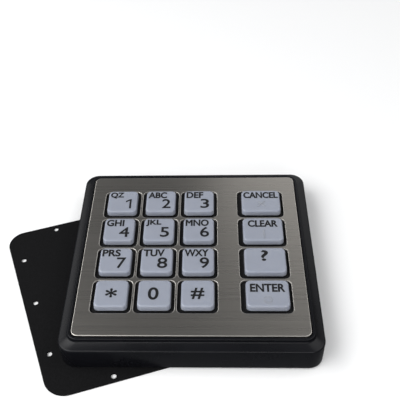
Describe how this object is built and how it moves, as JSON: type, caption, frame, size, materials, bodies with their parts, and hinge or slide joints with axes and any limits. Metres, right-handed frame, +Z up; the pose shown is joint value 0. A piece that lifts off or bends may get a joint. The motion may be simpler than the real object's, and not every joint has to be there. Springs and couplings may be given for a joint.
{
  "type": "alarm keypad panel",
  "caption": "Square metal-faced alarm keypad with letter and digit keys and a column of function keys, in a black bezel, lying on its loose mounting gasket.",
  "frame": {"origin": "On the underside of the mounting gasket, straight below the middle of the keypad", "axes": "+X along the key rows to the right, +Y towards the top row of keys, +Z up out of the keys"},
  "size_m": [0.1618, 0.1315, 0.0199],
  "materials": {
    "bezel_polymer": "satin black moulded polymer",
    "fascia_steel": "brushed stainless steel, grain along the rows",
    "key_polymer": "translucent bluish grey polymer, satin, black print",
    "seal_foam": "black closed-cell foam",
    "mat_silicone": "translucent white silicone",
    "circuit_board": "green solder mask on glass epoxy",
    "insulator_film": "black polyester film",
    "zinc_plate": "bluish clear-zinc-plated steel sheet",
    "gasket_rubber": "matte black rubber sheet",
    "fastener_steel": "bright zinc plating",
    "standoff_steel": "bright turned steel",
    "header_plastic": "black glass-filled moulding",
    "pin_gold": "gold-plated",
    "label_paper": "white printed label"
  },
  "bodies": {
    "gasket": {"mounting_gasket": "gasket_rubber"},
    "panel": {"bezel": "bezel_polymer", "fascia_plate": "fascia_steel", "fascia_seal": "seal_foam", "key_mat": "mat_silicone", "circuit_board": "circuit_board", "insulating_sheet": "insulator_film", "back_plate": "zinc_plate", "stud_top_left": "fastener_steel", "stud_top_right": "fastener_steel", "stud_bottom_left": "fastener_steel", "stud_bottom_right": "fastener_steel", "washer_top_left": "fastener_steel", "washer_top_right": "fastener_steel", "washer_bottom_left": "fastener_steel", "washer_bottom_right": "fastener_steel", "nut_top_left": "fastener_steel", "nut_top_right": "fastener_steel", "nut_bottom_left": "fastener_steel", "nut_bottom_right": "fastener_steel", "standoff_top": "standoff_steel", "standoff_bottom": "standoff_steel", "standoff_left": "standoff_steel", "standoff_right": "standoff_steel", "board_post_upper": "standoff_steel", "board_post_lower": "standoff_steel", "header_body": "header_plastic", "header_pin_1": "pin_gold", "header_pin_2": "pin_gold", "header_pin_3": "pin_gold", "header_pin_4": "pin_gold", "header_pin_5": "pin_gold", "header_pin_6": "pin_gold", "header_pin_7": "pin_gold", "header_pin_8": "pin_gold", "header_pin_9": "pin_gold", "header_pin_10": "pin_gold", "header_pin_11": "pin_gold", "header_pin_12": "pin_gold", "header_pin_13": "pin_gold", "label_1": "label_paper", "label_2": "label_paper"},
    "key_1": {"key_1": "key_polymer"},
    "key_2": {"key_2": "key_polymer"},
    "key_3": {"key_3": "key_polymer"},
    "key_cancel": {"key_cancel": "key_polymer"},
    "key_4": {"key_4": "key_polymer"},
    "key_5": {"key_5": "key_polymer"},
    "key_6": {"key_6": "key_polymer"},
    "key_clear": {"key_clear": "key_polymer"},
    "key_7": {"key_7": "key_polymer"},
    "key_8": {"key_8": "key_polymer"},
    "key_9": {"key_9": "key_polymer"},
    "key_help": {"key_help": "key_polymer"},
    "key_star": {"key_star": "key_polymer"},
    "key_0": {"key_0": "key_polymer"},
    "key_hash": {"key_hash": "key_polymer"},
    "key_enter": {"key_enter": "key_polymer"}
  },
  "joints": [
    {"name": "panel_lift", "type": "slide", "parent": "gasket", "child": "panel", "axis": [0, 0, 1], "range_m": [0, 0.04]},
    {"name": "key_1_press", "type": "slide", "parent": "panel", "child": "key_1", "axis": [0, 0, -1], "range_m": [0, 0.0012], "stiffness_N_per_m": 1200},
    {"name": "key_2_press", "type": "slide", "parent": "panel", "child": "key_2", "axis": [0, 0, -1], "range_m": [0, 0.0012], "stiffness_N_per_m": 1200},
    {"name": "key_3_press", "type": "slide", "parent": "panel", "child": "key_3", "axis": [0, 0, -1], "range_m": [0, 0.0012], "stiffness_N_per_m": 1200},
    {"name": "key_cancel_press", "type": "slide", "parent": "panel", "child": "key_cancel", "axis": [0, 0, -1], "range_m": [0, 0.0012], "stiffness_N_per_m": 1200},
    {"name": "key_4_press", "type": "slide", "parent": "panel", "child": "key_4", "axis": [0, 0, -1], "range_m": [0, 0.0012], "stiffness_N_per_m": 1200},
    {"name": "key_5_press", "type": "slide", "parent": "panel", "child": "key_5", "axis": [0, 0, -1], "range_m": [0, 0.0012], "stiffness_N_per_m": 1200},
    {"name": "key_6_press", "type": "slide", "parent": "panel", "child": "key_6", "axis": [0, 0, -1], "range_m": [0, 0.0012], "stiffness_N_per_m": 1200},
    {"name": "key_clear_press", "type": "slide", "parent": "panel", "child": "key_clear", "axis": [0, 0, -1], "range_m": [0, 0.0012], "stiffness_N_per_m": 1200},
    {"name": "key_7_press", "type": "slide", "parent": "panel", "child": "key_7", "axis": [0, 0, -1], "range_m": [0, 0.0012], "stiffness_N_per_m": 1200},
    {"name": "key_8_press", "type": "slide", "parent": "panel", "child": "key_8", "axis": [0, 0, -1], "range_m": [0, 0.0012], "stiffness_N_per_m": 1200},
    {"name": "key_9_press", "type": "slide", "parent": "panel", "child": "key_9", "axis": [0, 0, -1], "range_m": [0, 0.0012], "stiffness_N_per_m": 1200},
    {"name": "key_help_press", "type": "slide", "parent": "panel", "child": "key_help", "axis": [0, 0, -1], "range_m": [0, 0.0012], "stiffness_N_per_m": 1200},
    {"name": "key_star_press", "type": "slide", "parent": "panel", "child": "key_star", "axis": [0, 0, -1], "range_m": [0, 0.0012], "stiffness_N_per_m": 1200},
    {"name": "key_0_press", "type": "slide", "parent": "panel", "child": "key_0", "axis": [0, 0, -1], "range_m": [0, 0.0012], "stiffness_N_per_m": 1200},
    {"name": "key_hash_press", "type": "slide", "parent": "panel", "child": "key_hash", "axis": [0, 0, -1], "range_m": [0, 0.0012], "stiffness_N_per_m": 1200},
    {"name": "key_enter_press", "type": "slide", "parent": "panel", "child": "key_enter", "axis": [0, 0, -1], "range_m": [0, 0.0012], "stiffness_N_per_m": 1200}
  ]
}
